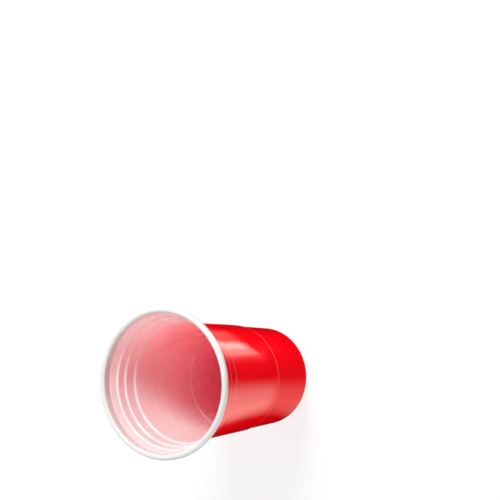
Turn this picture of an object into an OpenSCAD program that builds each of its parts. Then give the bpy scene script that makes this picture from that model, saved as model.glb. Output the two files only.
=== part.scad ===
// Plastic party cup, formed from one thin sheet: a tapered wall with a rolled
// rim, three stacking steps under it, one low filling step and a foot ring.
// Millimetres. The cup stands on its foot ring with its mouth up, axis on Z.

/* [Cup] */
// Diameter over the rolled rim
rim_d = 96; // [86:0.5:106]
// Height from the table to the top of the rim
cup_h = 127; // [105:1:150]
// Diameter where the wall would meet the table
base_d = 64.2; // [56:0.2:70]
// Thickness of the formed sheet
sheet_t = 0.35; // [0.25:0.05:0.5]

/* [Rolled rim] */
// Height of the roll
roll_h = 4.2; // [3.6:0.1:5]
// Width of the roll, from the inside of the neck to the outside
roll_w = 3.55; // [3.2:0.05:4.4]
// Gap between the tucked edge of the sheet and the neck
roll_gap = 0.3; // [0.2:0.05:0.5]
// Length of sheet tucked up inside the roll
roll_tuck = 1.1; // [0.8:0.1:1.5]

/* [Stacking steps, from the top] */
// Height of the straight neck from the top of the rim
neck_h = 6.9; // [6:0.1:9]
// Width of the crease under the neck
neck_crease = 0.4; // [0.2:0.05:0.6]
// Height of each of the three panels; the middle one is the stacking pitch
panel_h = [4.9, 6.5, 8.3]; // [4:0.1:11]
// Radius that each panel loses over its height; in the middle one less than the
// sheet's thickness, so that a nested cup's ledge lands on the ledge below it
panel_taper = [1.45, 0.3, 0.45]; // [0.1:0.05:2]
// Width of the ledge under each panel
ledge_w = [1.2, 1.25, 1.15]; // [0.8:0.05:1.4]
// Slope of the ledges from level
ledge_slope = 20; // [5:1:35]
// Rounding of the edge above each ledge
ledge_round = 1.0; // [0.5:0.1:1.5]

/* [Filling step] */
// Height of the step above the table
fill_z = 42.3; // [20:0.5:60]
// Width of its ledge
fill_w = 0.5; // [0.4:0.05:0.9]

/* [Base] */
// Radius of the rounded heel
heel_round = 4; // [2:0.25:6]
// Width of the base from the outside of the cup to the inside of the foot
foot_w = 6.4; // [6:0.1:9]
// Height of the recessed floor above the table
floor_z = 3.4; // [2:0.1:6]
// Lean of the foot's inner side from upright
foot_lean = 20; // [5:1:35]
// Rounding of the foot ring and of the floor's edge
foot_round = 0.9; // [0.5:0.1:1.5]

/* [Hidden] */

// Half the sheet: the profile is drawn along the middle of the sheet
half_t = sheet_t / 2;
// Radius of the small inside corners
crease_round = 0.5;
// Facets of the revolved body, and degrees turned by one side of a fillet
$fn = 180;
arc_step = 15;

// Middle-of-sheet radii and heights that the corners below share
rim_r = rim_d / 2 - half_t;
neck_r = rim_d / 2 - roll_w + half_t;
tuck_r = neck_r + sheet_t + roll_gap;
rim_z = cup_h - half_t;
roll_z = cup_h - roll_h + half_t;
roll_round = (rim_r - neck_r) / 2;
base_r = base_d / 2 - half_t;
foot_r = base_d / 2 - foot_w;

// Everything above the plain wall hangs from the neck, and the wall joins it
// to the base: sum() adds the first n values of a list
function sum(v, n) = n == 0 ? 0 : v[n - 1] + sum(v, n - 1);
function panel_r(n) = neck_r - neck_crease - sum(panel_taper, n) - sum(ledge_w, n);
function panel_z(n) = cup_h - neck_h - sum(panel_h, n);
ledge_rise = tan(ledge_slope);
wall_r = panel_r(3);
wall_z = panel_z(3);
wall_slope = (wall_r - fill_w - base_r) / wall_z;

// Corners of the profile as [radius, height, rounding], from the axis outwards
// and up the wall, then over the rim and back under it
floor_corners = [
    [0, floor_z + half_t, 0],
    [foot_r - (floor_z - half_t) * tan(foot_lean), floor_z + half_t, foot_round],
    [foot_r, half_t, foot_round],
    [base_r, half_t, heel_round],
];
fill_corners = [
    [base_r + wall_slope * fill_z, fill_z, crease_round],
    [base_r + wall_slope * fill_z + fill_w, fill_z + fill_w * ledge_rise, crease_round],
];
step_corners = [
    for (n = [3 : -1 : 1], top = [0, 1]) [
        panel_r(n) + top * ledge_w[n - 1],
        panel_z(n) + top * ledge_w[n - 1] * ledge_rise,
        top == 0 ? crease_round : ledge_round,
    ]
];
rim_corners = [
    [panel_r(0), panel_z(0), crease_round],
    [neck_r, panel_z(0) + neck_crease, crease_round],
    [neck_r, rim_z, roll_round],
    [rim_r, rim_z, roll_round],
    [rim_r, roll_z, roll_round],
    [tuck_r, roll_z, roll_round],
    [tuck_r, roll_z + roll_tuck, 0],
];

function unit(v) = v / norm(v);
function left_of(v) = [-v[1], v[0]];
function xy(p) = [p[0], p[1]];

// Length of the side from one corner to the next that its fillet may use: two
// fillets share a side in the ratio of their roundings, less a hair's width
function share(corner, next) =
    0.98 * norm(xy(next) - xy(corner)) * corner[2] / (corner[2] + next[2]);

// Fillet of a corner between the ones before and after it
function fillet(before, corner, after) =
    let (
        point = xy(corner),
        u = unit(xy(before) - point),
        v = unit(xy(after) - point),
        half = acos(u * v) / 2,
        room = min(share(corner, before), share(corner, after)) * tan(half),
        r = min(corner[2], room),
        centre = point + unit(u + v) * r / sin(half),
        from = point + u * r / tan(half) - centre,
        turn = (180 - 2 * half) * sign(cross(-u, v)),
        n = ceil(abs(turn) / arc_step)
    )
    [for (i = [0 : n]) centre + turned(from, turn * i / n)];

function turned(v, angle) =
    [v[0] * cos(angle) - v[1] * sin(angle), v[0] * sin(angle) + v[1] * cos(angle)];

function rounded(corners) =
    let (last = len(corners) - 1)
    [
        xy(corners[0]),
        for (i = [1 : last - 1]) each fillet(corners[i - 1], corners[i], corners[i + 1]),
        xy(corners[last]),
    ];

// The path moved sideways by d, with mitred corners
function beside(path, d) =
    let (last = len(path) - 1)
    [
        for (i = [0 : last])
            let (
                before = unit(path[max(i, 1)] - path[max(i, 1) - 1]),
                after = unit(path[min(i, last - 1) + 1] - path[min(i, last - 1)]),
                mitre = unit(left_of(before) + left_of(after))
            )
            path[i] + mitre * d / (mitre * left_of(after))
    ];

function reversed(list) = [for (i = [len(list) - 1 : -1 : 0]) list[i]];

module sheet_profile(corners) {
    path = rounded(corners);
    polygon(concat(beside(path, half_t), reversed(beside(path, -half_t))));
}

module cup() {
    color("crimson")
        rotate_extrude()
            sheet_profile(concat(floor_corners, fill_corners, step_corners, rim_corners));
}

cup();
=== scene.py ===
"""Looks of a plastic party cup: a thin two-coloured sheet, its finish and a small studio.

Metres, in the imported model's own frame. The cup stands on its foot ring with its
mouth up and its axis on Z.
"""

import math

import bmesh
import bpy
from bpy.props import (
    FloatProperty,
    FloatVectorProperty,
    IntProperty,
    PointerProperty,
)
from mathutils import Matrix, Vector


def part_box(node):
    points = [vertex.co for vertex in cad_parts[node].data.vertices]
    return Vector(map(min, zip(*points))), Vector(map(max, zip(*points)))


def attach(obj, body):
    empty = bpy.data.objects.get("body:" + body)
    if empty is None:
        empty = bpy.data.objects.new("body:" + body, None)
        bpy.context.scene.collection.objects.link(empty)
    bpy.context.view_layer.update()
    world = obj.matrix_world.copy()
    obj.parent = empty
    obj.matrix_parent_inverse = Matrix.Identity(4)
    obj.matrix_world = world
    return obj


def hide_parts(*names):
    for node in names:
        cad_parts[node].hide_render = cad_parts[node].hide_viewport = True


bl_info = {
    "name": "Party cup",
    "version": (1, 0, 0),
    "blender": (4, 5, 0),
    "location": "3D View > Sidebar > Cup",
    "description": "Forms a plastic party cup from one sheet and sets it in a studio",
    "category": "Add Mesh",
}

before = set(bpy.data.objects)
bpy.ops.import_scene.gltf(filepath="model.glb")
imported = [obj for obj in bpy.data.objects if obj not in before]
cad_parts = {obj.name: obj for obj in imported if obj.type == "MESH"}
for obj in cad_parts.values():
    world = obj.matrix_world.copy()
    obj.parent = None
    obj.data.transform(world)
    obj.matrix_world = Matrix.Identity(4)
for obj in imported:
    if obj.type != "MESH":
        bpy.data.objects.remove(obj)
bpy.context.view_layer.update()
CUP_LOW, CUP_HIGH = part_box("cup")

MM = 0.001
WHITE = (1, 1, 1)
BLACK = (0, 0, 0)


# Sizes and colours that can be changed


def length(name, description, default, **more):
    return FloatProperty(
        name=name, description=description, default=default,
        unit="LENGTH", subtype="DISTANCE", precision=5, **more,
    )


def lengths(name, description, default):
    return FloatVectorProperty(
        name=name, description=description, default=default,
        size=3, unit="LENGTH", precision=5,
    )


def tilt(name, description, degrees):
    return FloatProperty(
        name=name, description=description, default=math.radians(degrees),
        unit="ROTATION", subtype="ANGLE",
    )


def colour(name, description, default):
    return FloatVectorProperty(
        name=name, description=description, default=default,
        size=3, subtype="COLOR", min=0, max=1,
    )


def share(name, description, default):
    return FloatProperty(
        name=name, description=description, default=default,
        subtype="FACTOR", min=0, max=1,
    )


def level(name, description, default):
    return FloatProperty(name=name, description=description, default=default, min=0)


def place(name, description, default):
    return FloatVectorProperty(
        name=name, description=description, default=default,
        size=3, unit="LENGTH", subtype="TRANSLATION",
    )


def power(name, description, watts):
    return FloatProperty(
        name=name, description=description, default=watts, min=0, unit="POWER")


class CupShape(bpy.types.PropertyGroup):
    """Sizes of the formed sheet."""

    rim_diameter: length(
        "Rim", "Diameter over the rolled rim", CUP_HIGH.y - CUP_LOW.y)
    height: length(
        "Height", "From the table to the top of the rim", CUP_HIGH.z - CUP_LOW.z)
    base_diameter: length(
        "Base", "Diameter where the wall would meet the table", 64.2 * MM)
    sheet: length("Sheet", "Thickness of the formed sheet", 0.35 * MM)
    roll_height: length("Roll height", "Height of the rolled rim", 4.2 * MM)
    roll_width: length(
        "Roll width", "From the inside of the neck to the outside", 3.55 * MM)
    roll_gap: length(
        "Roll gap", "Between the tucked edge of the sheet and the neck", 0.3 * MM)
    roll_tuck: length(
        "Roll tuck", "Length of sheet tucked up inside the roll", 1.1 * MM)
    neck_height: length(
        "Neck height", "Height of the straight neck from the rim's top", 6.9 * MM)
    neck_crease: length(
        "Neck crease", "Width of the crease under the neck", 0.4 * MM)
    panel_heights: lengths(
        "Panels", "Height of each stacking panel from the top",
        (4.9 * MM, 6.5 * MM, 8.3 * MM))
    panel_tapers: lengths(
        "Panel tapers", "Radius that each panel loses over its height",
        (1.45 * MM, 0.3 * MM, 0.45 * MM))
    ledge_widths: lengths(
        "Ledges", "Width of the ledge under each panel",
        (1.2 * MM, 1.25 * MM, 1.15 * MM))
    ledge_slope: tilt("Ledge slope", "Slope of the ledges from level", 20)
    ledge_round: length(
        "Ledge rounding", "Rounding of the edge above each ledge", 1.0 * MM)
    fill_height: length(
        "Filling step", "Height of the low step above the table", 42.3 * MM)
    fill_width: length("Filling ledge", "Width of the low step", 0.5 * MM)
    heel_round: length("Heel", "Radius of the rounded heel", 4.0 * MM)
    foot_width: length(
        "Foot", "From the outside of the base to the inside of the foot", 6.4 * MM)
    floor_height: length(
        "Floor", "Height of the recessed floor above the table", 3.4 * MM)
    foot_lean: tilt("Foot lean", "Lean of the foot's inner side from upright", 20)
    foot_round: length("Foot rounding", "Rounding of the foot ring", 0.9 * MM)
    crease_round: length(
        "Crease rounding", "Radius of the small inside corners", 0.5 * MM)
    turn_steps: IntProperty(
        name="Steps round", description="Faces round the cup", default=192, min=24)
    row_length: length(
        "Row", "Longest row of faces down the wall", 4.0 * MM)


class CupFinish(bpy.types.PropertyGroup):
    """Colours and gloss of the two-coloured sheet."""

    red: colour("Outside", "Outer skin where it is thickest", (0.90, 0.0008, 0.007))
    red_worn: colour(
        "Outside, thin", "Outer skin where it is stretched", (0.84, 0.0008, 0.006))
    # Paler red for the lines above the ledges: partly sheet paled by the forming, partly
    # painted highlight on the ledges' rounded edges.
    red_pale_highlit: colour(
        "Outside creases", "Outer skin where the forming has paled it", (0.96, 0.14, 0.14))
    # Darker red for painted shade under the roll and just under each ledge.
    red_painted_shade: colour(
        "Outside folds", "Outer skin under the roll and the ledges", (0.50, 0.0, 0.002))
    red_gloss: share("Outside roughness", "Roughness of the clean outer skin", 0.08)
    white: colour("Rim", "Inner skin on the roll", (0.68, 0.682, 0.665))
    milky: colour("Inside", "Inner skin on the upper wall", (0.74, 0.785, 0.775))
    # Pinker, darker inner skin: partly where the red shows through the thinner skin, partly
    # painted shade deep in the cup and under the roll.
    blush_and_shade: colour(
        "Inside, thin", "Inner skin where the red shows through", (0.74, 0.33, 0.41))
    white_gloss: share("Inside roughness", "Roughness of the clean inner skin", 0.255)
    glow: colour(
        "Glow", "Colour of the light that comes through the inner skin",
        (0.85, 0.05, 0.10))
    glow_share: share("Glow share", "Share of the inner skin that lets light through", 0.20)
    tint: colour("Tint", "Colour that the outer skin lets through", (1.0, 0.30, 0.38))


class CupStage(bpy.types.PropertyGroup):
    """Floor, lamps and camera."""

    floor_size: length("Floor", "Side of the floor", 8.0)
    floor_colour: colour("Floor colour", "Colour of the floor", (0.92, 0.92, 0.92))
    floor_glow: share(
        "Floor glow", "Share of the floor near the cup that is plain white", 0.80)
    shadow_radius: length(
        "Shadow", "Radius within which the floor keeps the cup's shadow", 0.35)
    white_radius: length(
        "White floor", "Radius outside which the floor is plain white", 0.70)
    room_fill: level("Room", "Level of the room's even light", 0.10)
    card_radius: length("Card", "Radius of the card that the gloss reflects", 1.0)
    card_colour: colour("Card colour", "Colour of the card's strips", (1.0, 0.96, 0.86))
    card_level: level("Card level", "How bright the card's strips are", 4.2)
    backlight_radius: length(
        "Backlight", "Radius of the white wall that the sheet glows from", 0.25)
    backlight_height: length("Backlight height", "Height of that wall", 0.50)
    backlight_level: level("Backlight level", "How bright that wall is", 2.95)
    key_power: power("Key", "Power of the key lamp", 12.6)
    key_place: place("Key place", "Where the key lamp stands", (0.71, -0.03, 0.85))
    front_power: power("Front", "Power of the low front lamp", 2.0)
    front_place: place(
        "Front place", "Where the low front lamp stands", (0.25, -0.85, 0.12))
    side_power: power("Side", "Power of the side lamp", 5.2)
    side_place: place("Side place", "Where the side lamp stands", (-0.88, -0.08, 0.50))
    top_power: power("Top", "Power of the top lamp", 1.8)
    top_place: place("Top place", "Where the top lamp hangs", (0.10, 0.10, 1.20))
    back_power: power("Back", "Power of the back lamp", 3.0)
    back_place: place("Back place", "Where the back lamp stands", (0.30, 0.85, 0.30))
    camera_place: place(
        "Camera place", "Where the camera stands", (0.08579, -0.69807, 1.13676))
    camera_turn: FloatVectorProperty(
        name="Camera turn", description="How the camera is turned about X, Y and Z",
        default=tuple(math.radians(turn) for turn in (1.0085, 32.1583, -88.0498)),
        size=3, unit="ROTATION", subtype="EULER")
    lens: FloatProperty(
        name="Lens", description="Focal length on a sensor 36 mm wide",
        default=141.26, unit="CAMERA")


# Material maths


# A Mix node's colour sockets, by number because their names are used more than once
MIX_FIRST, MIX_SECOND, MIX_RESULT = 6, 7, 2


class Wire:
    """One output socket of a shader node; arithmetic on it adds Math nodes."""

    def __init__(self, tree, socket=None):
        self.tree = tree
        self.socket = socket

    def node(self, kind, settings=None, inputs=None, output=0):
        """Adds a node of that type, sets it up, wires its inputs and gives an output."""
        made = self.tree.nodes.new(kind)
        for name, value in (settings or {}).items():
            setattr(made, name, value)
        for name, value in (inputs or {}).items():
            if isinstance(value, Wire):
                self.tree.links.new(value.socket, made.inputs[name])
            else:
                made.inputs[name].default_value = value
        return Wire(self.tree, made.outputs[output])

    def other(self, name):
        """Another output of the node that this one comes from."""
        return Wire(self.tree, self.socket.node.outputs[name])

    def maths(self, operation, *values):
        return self.node(
            "ShaderNodeMath", {"operation": operation}, dict(enumerate(values)))

    def __add__(self, other):
        return self.maths("ADD", self, other)

    def __sub__(self, other):
        return self.maths("SUBTRACT", self, other)

    def __rsub__(self, other):
        return self.maths("SUBTRACT", other, self)

    def __mul__(self, other):
        return self.maths("MULTIPLY", self, other)

    def __abs__(self):
        return self.maths("ABSOLUTE", self)

    __radd__ = __add__
    __rmul__ = __mul__

    def clamped(self):
        return self.node(
            "ShaderNodeClamp", inputs={"Value": self, "Min": 0.0, "Max": 1.0})

    def ramp(self, zero, one):
        """0 at one value and 1 at another, eased at both ends."""
        return self.node(
            "ShaderNodeMapRange", {"interpolation_type": "SMOOTHSTEP"},
            {"Value": self, "From Min": zero, "From Max": one})

    def between(self, start, full, fading, end):
        """Rises from 0 at start to 1 at full, and falls from fading to 0 at end."""
        return self.ramp(start, full) * self.ramp(end, fading)

    def near(self, places, width, core=0.35):
        """1 near any of some places, within the width's core, and 0 past the width."""
        total = 0.0
        for middle in places:
            total = total + abs(self - middle).ramp(width, core * width)
        return total.clamped()

    def blend(self, first, second):
        """A colour between two, by this value."""
        return self.node(
            "ShaderNodeMix", {"data_type": "RGBA"},
            {"Factor": self, MIX_FIRST: rgba(first), MIX_SECOND: rgba(second)}, MIX_RESULT)

    def mix(self, first, second):
        """A shader between two, by this value."""
        return self.node("ShaderNodeMixShader", inputs={0: self, 1: first, 2: second})


def rgba(value):
    return value if isinstance(value, Wire) else (*value, 1.0)


def emptied_tree(owner):
    """The emptied node tree of a material or a world, to wire up."""
    owner.use_nodes = True
    owner.node_tree.nodes.clear()
    return Wire(owner.node_tree)


def new_material(name):
    material = bpy.data.materials.new(name)
    return material, emptied_tree(material)


def finish_tree(surface, output="ShaderNodeOutputMaterial"):
    """Ends the tree of a material or a world in its shader."""
    out = surface.tree.nodes.new(output)
    surface.tree.links.new(surface.socket, out.inputs["Surface"])


def object_place(tree):
    """The point on the piece, and its x, y and z."""
    here = tree.node("ShaderNodeTexCoord", output="Object")
    x = tree.node("ShaderNodeSeparateXYZ", inputs={"Vector": here}, output="X")
    return here, x, x.other("Y"), x.other("Z")


# The sheet's finish


PLASTIC_IOR = 1.49
BUMP_DEPTH = 0.2 * MM

# How fast the streaks' pattern changes up the wall, against round it
STREAK_SQUEEZE = 0.06

# Levels of a noise that a patch fades in between
CLOUD_FADE = (0.35, 0.70)
SMUDGE_FADE = (0.30, 0.75)


def noise(tree, here, scale, detail=2.0):
    return tree.node(
        "ShaderNodeTexNoise", {"noise_dimensions": "3D"},
        {"Vector": here, "Scale": scale, "Detail": detail})


def draw_marks(tree, here, scale):
    """Fine upright streaks, which the forming leaves."""
    squeezed = tree.node(
        "ShaderNodeMapping", inputs={"Vector": here, "Scale": (1, 1, STREAK_SQUEEZE)})
    return noise(tree, squeezed, scale, detail=3.0)


def bumped(relief, strength):
    return relief.node(
        "ShaderNodeBump",
        inputs={"Strength": strength, "Distance": BUMP_DEPTH, "Height": relief})


def plastic(tree, skin_colour, roughness, normal):
    return tree.node(
        "ShaderNodeBsdfPrincipled",
        inputs={
            "Base Color": skin_colour, "Roughness": roughness,
            "IOR": PLASTIC_IOR, "Normal": normal,
        })


def red_outside(finish, shape):
    """Glossy red skin, darker red as painted shade under the roll and the ledges, and paler
    in lines above the ledges, partly sheet paled by the forming and partly painted highlight;
    from its back, inside the sheet, it lets tinted light through.
    """
    paled_above, paled_width = 0.8 * MM, 0.9 * MM
    under_roll_from, under_roll_full = 11.5 * MM, 7.5 * MM
    under_ledge_below, under_ledge_above = 3.5 * MM, 0.5 * MM
    least_paled, most_paled, painted_shade_depth = 0.35, 0.75, 0.6
    smudge_roughness, fold_roughness, grain_share = 0.07, 0.25, 0.2

    material, tree = new_material("cup_red_outside")
    here, _, _, height = object_place(tree)
    ledges = ledge_heights(shape)
    # Lines just above the ledges, made paler: partly sheet paled by the forming, partly
    # painted highlight on the rounded edges.
    paled = height.near([z + paled_above for z in ledges], paled_width)
    # Band under the roll and just under each ledge: painted shade darkens the red there, and
    # the skin is rougher there.
    shaded_and_dull = height.ramp(shape.height - under_roll_from, shape.height - under_roll_full)
    for z in ledges[1:]:
        shaded_and_dull = shaded_and_dull + height.between(z - under_ledge_below, z, z, z + under_ledge_above)
    shaded_and_dull = shaded_and_dull.clamped()

    cloud = noise(tree, here, scale=28.0)
    smudge = noise(tree, here, scale=90.0, detail=4.0).ramp(*SMUDGE_FADE)
    grain = noise(tree, here, scale=1500.0)
    marks = draw_marks(tree, here, scale=520.0)
    relief = marks * (1.0 - grain_share) + grain * grain_share
    worn = cloud.ramp(*CLOUD_FADE).blend(finish.red, finish.red_worn)
    # Painted shade: the red darkened in the band under the roll and the ledges.
    darkened = (shaded_and_dull * painted_shade_depth).blend(worn, finish.red_painted_shade)
    pale_and_highlit = paled * (least_paled + (most_paled - least_paled) * cloud)
    skin = plastic(
        tree,
        pale_and_highlit.blend(darkened, finish.red_pale_highlit),
        smudge * smudge_roughness + shaded_and_dull * fold_roughness + finish.red_gloss,
        bumped(relief, strength=0.10))
    through = tree.node("ShaderNodeBsdfTransparent", inputs={"Color": rgba(finish.tint)})
    behind = tree.node("ShaderNodeNewGeometry", output="Backfacing")
    finish_tree(behind.mix(skin, through))
    return material


def white_inside(finish, shape):
    """Satin white skin that turns pinker and darker down the wall, partly where the skin is
    thinner and partly as painted shade deep in the cup, and glows with red.
    """
    roll_from, roll_full = 0.8 * shape.roll_height, 0.5 * shape.roll_height
    neck_below, neck_above = 0.2 * MM, 0.8 * MM
    blush_from, blush_full = 0.60 * shape.height, 0.06 * shape.height
    glow_full, glow_at_base = 0.40 * shape.height, 0.6
    paled_above, paled_width, paled_blush, paled_cover = 0.3 * MM, 0.6 * MM, 0.12, 0.5
    neck_painted_shade, neck_dimming, paled_dimming = 0.35, 0.7, 0.1
    cloud_share, smudge_roughness = 0.06, 0.05

    material, tree = new_material("cup_white_inside")
    here, _, _, height = object_place(tree)
    neck_end = shape.height - shape.neck_height
    roll = height.ramp(shape.height - roll_from, shape.height - roll_full)
    neck = height.ramp(neck_end - neck_below, neck_end + neck_above)
    down = height.ramp(blush_from, blush_full)
    # Whiter lines just above the ledges: partly less stretched skin, partly painted highlight
    # where the ledges catch the light; the glow is a little weaker there.
    paled = height.near([z + paled_above for z in ledge_heights(shape)], paled_width)

    cloud = noise(tree, here, scale=24.0)
    smudge = noise(tree, here, scale=110.0, detail=4.0).ramp(*SMUDGE_FADE)
    relief = draw_marks(tree, here, scale=480.0) * (1.0 - neck)
    # Share of the pinker colour, growing down the wall: partly thinner skin, partly painted
    # shade deep in the cup; less on the pale lines.
    thinned_and_shaded = down * (1.0 - cloud_share) + cloud * cloud_share
    thin = thinned_and_shaded * (1.0 - paled_cover * paled) + paled * paled_blush
    # The neck under the roll takes more of the pinker colour: painted shade of the roll.
    wall = (neck * neck_painted_shade + thin).clamped().blend(finish.milky, finish.blush_and_shade)
    skin = plastic(
        tree,
        roll.blend(wall, finish.white),
        smudge * smudge_roughness + finish.white_gloss,
        bumped(relief, strength=0.03))
    glow = tree.node("ShaderNodeBsdfTranslucent", inputs={"Color": rgba(finish.glow)})
    thickness = height.ramp(0.0, glow_full) * (1.0 - glow_at_base) + glow_at_base
    dimming = (1.0 - neck_dimming * neck) * (1.0 - paled_dimming * paled)
    finish_tree((dimming * thickness * finish.glow_share).mix(skin, glow))
    return material


# The cup


# Share of a side that the roundings at its two ends may take up
SIDE_SHARE = 0.98

# Degrees turned by one face of a rounding
BEND_STEP = 11

# Points closer than this share of the sheet's thickness are one point
MERGE_SHARE = 0.02


def sheet_corners(shape):
    """Corners of the sheet's middle as (radius, height, rounding), from the axis out
    over the foot, up the wall, over the rim and back under it."""
    half = shape.sheet / 2
    rim = shape.rim_diameter / 2
    rise = math.tan(shape.ledge_slope)
    rim_r, neck_r = rim - half, rim - shape.roll_width + half
    tuck_r = neck_r + shape.sheet + shape.roll_gap
    rim_z, roll_z = shape.height - half, shape.height - shape.roll_height + half
    roll_round = (rim_r - neck_r) / 2
    base_r = shape.base_diameter / 2 - half
    foot_r = shape.base_diameter / 2 - shape.foot_width

    panels = [(neck_r - shape.neck_crease, shape.height - shape.neck_height)]
    steps = []
    for tall, taper, ledge in zip(
            shape.panel_heights, shape.panel_tapers, shape.ledge_widths):
        r, z = panels[-1]
        r, z = r - taper - ledge, z - tall
        steps = [
            (r, z, shape.crease_round),
            (r + ledge, z + ledge * rise, shape.ledge_round),
        ] + steps
        panels.append((r, z))
    wall_r, wall_z = panels[-1]
    slope = (wall_r - shape.fill_width - base_r) / wall_z
    fill_r, fill_z = base_r + slope * shape.fill_height, shape.fill_height
    in_foot = (shape.floor_height - half) * math.tan(shape.foot_lean)
    return [
        (0, shape.floor_height + half, 0),
        (foot_r - in_foot, shape.floor_height + half, shape.foot_round),
        (foot_r, half, shape.foot_round),
        (base_r, half, shape.heel_round),
        (fill_r, fill_z, shape.crease_round),
        (fill_r + shape.fill_width, fill_z + shape.fill_width * rise, shape.crease_round),
        *steps,
        (*panels[0], shape.crease_round),
        (neck_r, panels[0][1] + shape.neck_crease, shape.crease_round),
        (neck_r, rim_z, roll_round),
        (rim_r, rim_z, roll_round),
        (rim_r, roll_z, roll_round),
        (tuck_r, roll_z, roll_round),
        (tuck_r, roll_z + shape.roll_tuck, 0),
    ]


def ledge_heights(shape):
    """Heights of the ledges: the filling step's and the three panels'."""
    top = shape.height - shape.neck_height
    falls = [sum(shape.panel_heights[:n]) for n in (1, 2, 3)]
    return [shape.fill_height] + [top - fall for fall in falls]


def fillet_offset(before, corner, after):
    """How far a corner's rounding starts from it, and the degrees that it turns."""
    point = Vector(corner[:2])
    u, v = Vector(before[:2]) - point, Vector(after[:2]) - point
    turn = math.pi - u.angle(v)

    def room(other, side):
        return SIDE_SHARE * side.length * corner[2] / (corner[2] + other[2])

    offset = min(corner[2] * math.tan(turn / 2), room(before, u), room(after, v))
    return offset, math.degrees(turn)


def face_outwards(bm):
    """Turns the faces alike, with the lowest ones, under the foot ring, facing down."""
    bmesh.ops.recalc_face_normals(bm, faces=bm.faces[:])
    lowest = min(bm.faces, key=lambda face: face.calc_center_median().z)
    if lowest.normal.z > 0:
        bmesh.ops.reverse_faces(bm, faces=bm.faces[:])


def build_sheet(shape):
    """The middle of the sheet as a bmesh, turned round Z, facing outwards."""
    corners = sheet_corners(shape)
    bm = bmesh.new()
    points = [bm.verts.new((r, 0, z)) for r, z, _ in corners]
    for a, b in zip(points, points[1:]):
        bm.edges.new((a, b))
    for k in range(1, len(corners) - 1):
        offset, turn = fillet_offset(*corners[k - 1:k + 2])
        bmesh.ops.bevel(
            bm, geom=[points[k]], offset=offset, offset_type="OFFSET",
            affect="VERTICES", segments=max(2, math.ceil(turn / BEND_STEP)),
            profile=0.5, material=-1, clamp_overlap=False)
    for edge in list(bm.edges):
        rows = math.ceil(edge.calc_length() / shape.row_length)
        if rows > 1:
            bmesh.ops.subdivide_edges(bm, edges=[edge], cuts=rows - 1)
    bmesh.ops.spin(
        bm, geom=bm.verts[:] + bm.edges[:], cent=(0, 0, 0), axis=(0, 0, 1),
        dvec=(0, 0, 0), angle=2 * math.pi, steps=shape.turn_steps,
        use_merge=True, use_duplicate=False)
    bmesh.ops.remove_doubles(bm, verts=bm.verts[:], dist=shape.sheet * MERGE_SHARE)
    if not bm.faces or any(len(edge.link_faces) > 2 for edge in bm.edges):
        raise RuntimeError("The sheet's corners don't make one clean wall")
    face_outwards(bm)
    for face in bm.faces:
        face.smooth = True
    return bm


def finished_mesh(name, bm, *materials):
    mesh = bpy.data.meshes.new(name)
    bm.to_mesh(mesh)
    bm.free()
    for material in materials:
        mesh.materials.append(material)
    return mesh


def new_object(context, name, data):
    made = bpy.data.objects.new(name, data)
    context.scene.collection.objects.link(made)
    return made


class CUP_OT_shell(bpy.types.Operator):
    """Form the cup from one sheet, red outside and white inside"""

    bl_idname = "party_cup.shell"
    bl_label = "Cup"

    def execute(self, context):
        shape, finish = context.scene.cup_shape, context.scene.cup_finish
        mesh = finished_mesh(
            "cup_shell", build_sheet(shape),
            red_outside(finish, shape), white_inside(finish, shape))
        shell = new_object(context, "cup_shell", mesh)
        wall = shell.modifiers.new("sheet", "SOLIDIFY")
        wall.thickness = shape.sheet
        wall.offset = 0
        wall.use_even_offset = True
        wall.material_offset = 1
        wall.material_offset_rim = 1
        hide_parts("cup")
        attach(shell, "root")
        return {"FINISHED"}


# The stage


# Width of each lamp's disc
LAMP_SIZES = {"key": 0.38, "front": 0.5, "side": 0.6, "top": 0.5, "back": 0.6}

# Kinds of ray that may see a piece or not
RAYS = ("camera", "diffuse", "glossy", "transmission", "shadow", "volume_scatter")

# How far the card lies above the floor, and the sides of the round pieces
CARD_LIFT = 0.4 * MM
ROUND_SIDES = 64

# The backlight is bright on one side and dim on the other: the way to its bright side,
# how far from the axis it fades on either side, and its dim colour
BRIGHT_SIDE = (0.94, 0.34)
BACKLIGHT_FADE = 0.16
BACKLIGHT_DIM = (0.08, 0.08, 0.08)


def seen(tree):
    """1 for what the camera sees, straight, in gloss or through something clear."""
    straight = tree.node("ShaderNodeLightPath", output="Is Camera Ray")
    in_gloss = straight.other("Is Glossy Ray")
    through = straight.other("Is Transmission Ray")
    return (straight + in_gloss + through).clamped()


def emission(tree, light_colour, strength):
    return tree.node(
        "ShaderNodeEmission", inputs={"Color": rgba(light_colour), "Strength": strength})


def floor_material(stage):
    """Pale floor that shows the cup's shadow near it and is plain white far from it."""
    material, tree = new_material("plain_floor")
    _, x, y, _ = object_place(tree)
    matt = tree.node("ShaderNodeBsdfDiffuse", inputs={"Color": rgba(stage.floor_colour)})
    far = (x * x + y * y).ramp(stage.shadow_radius ** 2, stage.white_radius ** 2)
    plain = far * (1.0 - stage.floor_glow) + stage.floor_glow
    finish_tree((seen(tree) * plain).mix(matt, emission(tree, WHITE, 1.0)))
    return material


# The card's strips lie at an angle round the cup, in degrees from its front towards +X,
# and at a reach from its axis. A pair is where a ramp is 0 and where it is 1.


def table_strip(angle, reach):
    """The pale table left of the cup, whose end leans and which dims near the cup."""
    edge, end = (6, -22), (-84, -50)
    lean, lean_reach = 32.0, (0.050, 0.110)
    near_level, near_reach = 0.35, (0.050, 0.062)
    low, high, rise = 0.70, 0.85, (-12, -45)
    leaning = angle + reach.ramp(*lean_reach) * lean - lean / 2
    nearness = reach.ramp(*near_reach) * (1.0 - near_level) + near_level
    brightness = low + (high - low) * angle.ramp(*rise)
    return angle.ramp(*edge) * leaning.ramp(*end) * nearness * brightness


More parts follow.
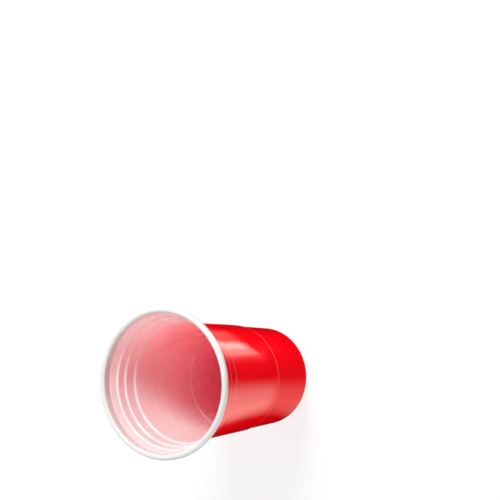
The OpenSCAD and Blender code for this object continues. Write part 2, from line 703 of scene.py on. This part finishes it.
def box_strip(angle, reach):
    """The soft box right of the cup: it brightens in three stages and starts aslant."""
    stages = (((28, 46), 0.12), ((40, 47), 0.43), ((52, 60), 0.45))
    end, start_reach, slant = (75, 64), (0.0475, 0.0490), 0.00035
    dimming, dim_reach = 0.25, (0.075, 0.110)
    rising = sum(angle.ramp(*stage) * part for stage, part in stages)
    started = (reach - slant * angle).ramp(*start_reach)
    return rising * angle.ramp(*end) * started * (1.0 - dimming * reach.ramp(*dim_reach))


def rim_strip(angle, reach):
    """A faint light beside the soft box, which shows near the rim."""
    across, outwards = (62, 76, 90, 104), (0.067, 0.077, 0.100, 0.150)
    return angle.between(*across) * reach.between(*outwards)


def back_strips(angle, reach):
    """One light on each side behind the cup."""
    across, start_reach = (128, 140, 154, 166), (0.045, 0.060)
    return abs(angle).between(*across) * reach.ramp(*start_reach)


def card_material(stage):
    """What the gloss reflects: a dark table with soft white lights on it."""
    table_level, rim_level, back_level = 0.5, 0.12, 0.35
    material, tree = new_material("reflection_card")
    _, x, y, _ = object_place(tree)
    angle = x.maths("ARCTAN2", x, 0.0 - y) * math.degrees(1)
    squared = x * x + y * y
    reach = squared.maths("SQRT", squared)
    strips = (
        table_strip(angle, reach) * table_level + box_strip(angle, reach)
        + rim_strip(angle, reach) * rim_level + back_strips(angle, reach) * back_level)
    shown = strips.clamped().blend(BLACK, stage.card_colour)
    finish_tree(emission(tree, shown, stage.card_level))
    return material


def backlight_material(stage):
    """White wall that is dim on one side."""
    material, tree = new_material("backlight_wall")
    material.cycles.emission_sampling = "NONE"
    _, x, y, _ = object_place(tree)
    along = x * BRIGHT_SIDE[0] + y * BRIGHT_SIDE[1]
    lit = along.ramp(-BACKLIGHT_FADE, BACKLIGHT_FADE)
    finish_tree(emission(tree, lit.blend(BACKLIGHT_DIM, WHITE), stage.backlight_level))
    return material


def stage_piece(context, name, bm, material):
    piece = new_object(context, name, finished_mesh(name, bm, material))
    return piece


def seen_only_by(piece, ray):
    """Hides a piece from every kind of ray but one."""
    for kind in RAYS:
        setattr(piece, "visible_" + kind, kind == ray)


def lay_floor(context, stage):
    bm = bmesh.new()
    bmesh.ops.create_grid(bm, x_segments=1, y_segments=1, size=stage.floor_size / 2)
    stage_piece(context, "floor", bm, floor_material(stage))


def lay_card(context, stage):
    """The card that only the gloss sees."""
    bm = bmesh.new()
    bmesh.ops.create_circle(
        bm, cap_ends=True, segments=ROUND_SIDES, radius=stage.card_radius)
    bmesh.ops.translate(bm, verts=bm.verts[:], vec=(0, 0, CARD_LIFT))
    card = stage_piece(context, "reflection_card", bm, card_material(stage))
    seen_only_by(card, "glossy")


def stand_backlight(context, stage):
    """The wall that only light through the thin sheet sees."""
    bm = bmesh.new()
    bmesh.ops.create_cone(
        bm, cap_ends=False, segments=ROUND_SIDES, radius1=stage.backlight_radius,
        radius2=stage.backlight_radius, depth=stage.backlight_height)
    bmesh.ops.translate(bm, verts=bm.verts[:], vec=(0, 0, stage.backlight_height / 2))
    wall = stage_piece(context, "backlight_wall", bm, backlight_material(stage))
    seen_only_by(wall, "transmission")


def add_lamp(context, name, position, aim, size, watts):
    lamp = bpy.data.lights.new(name, "AREA")
    lamp.shape = "DISK"
    lamp.size = size
    lamp.energy = watts
    holder = new_object(context, name, lamp)
    holder.location = position
    holder.rotation_euler = (aim - Vector(position)).to_track_quat("-Z", "Y").to_euler()
    holder.visible_camera = False


def light_room(scene, stage):
    """Even light in the room, which is plain white to the camera."""
    world = bpy.data.worlds.new("room")
    tree = emptied_tree(world)
    fill, white = (
        tree.node("ShaderNodeBackground", inputs={"Color": rgba(WHITE), "Strength": strength})
        for strength in (stage.room_fill, 1.0))
    finish_tree(seen(tree).mix(fill, white), "ShaderNodeOutputWorld")
    scene.world = world


def set_camera(context, stage):
    lens = bpy.data.cameras.new("camera")
    lens.lens = stage.lens
    camera = new_object(context, "camera", lens)
    camera.location = stage.camera_place
    camera.rotation_euler = stage.camera_turn
    context.scene.camera = camera


class CUP_OT_stage(bpy.types.Operator):
    """Lay the floor, hang the lamps and set the camera"""

    bl_idname = "party_cup.stage"
    bl_label = "Studio"

    def execute(self, context):
        stage = context.scene.cup_stage
        lay_floor(context, stage)
        lay_card(context, stage)
        stand_backlight(context, stage)
        middle = Vector((0, 0, CUP_HIGH.z / 2))
        for name, size in LAMP_SIZES.items():
            add_lamp(
                context, name, getattr(stage, name + "_place"), middle, size,
                getattr(stage, name + "_power"))
        light_room(context.scene, stage)
        set_camera(context, stage)
        context.scene.view_settings.view_transform = "Standard"
        return {"FINISHED"}


# The panel


class CUP_PT_panel(bpy.types.Panel):
    """Cup and studio in the sidebar"""

    bl_label = "Party cup"
    bl_idname = "CUP_PT_panel"
    bl_space_type = "VIEW_3D"
    bl_region_type = "UI"
    bl_category = "Cup"

    def draw(self, context):
        column = self.layout.column()
        for label, group, operator in (
            ("Shape", context.scene.cup_shape, None),
            ("Finish", context.scene.cup_finish, CUP_OT_shell.bl_idname),
            ("Studio", context.scene.cup_stage, CUP_OT_stage.bl_idname),
        ):
            column.label(text=label)
            for name in group.bl_rna.properties.keys():
                if name not in {"rna_type", "name"}:
                    column.prop(group, name)
            if operator:
                column.operator(operator)


CLASSES = (CupShape, CupFinish, CupStage, CUP_OT_shell, CUP_OT_stage, CUP_PT_panel)
GROUPS = {"cup_shape": CupShape, "cup_finish": CupFinish, "cup_stage": CupStage}


def register():
    for each in CLASSES:
        bpy.utils.register_class(each)
    for name, group in GROUPS.items():
        setattr(bpy.types.Scene, name, PointerProperty(type=group))


def unregister():
    for name in GROUPS:
        delattr(bpy.types.Scene, name)
    for each in reversed(CLASSES):
        bpy.utils.unregister_class(each)


def main():
    register()
    bpy.ops.party_cup.shell()
    bpy.ops.party_cup.stage()


if __name__ == "__main__":
    main()
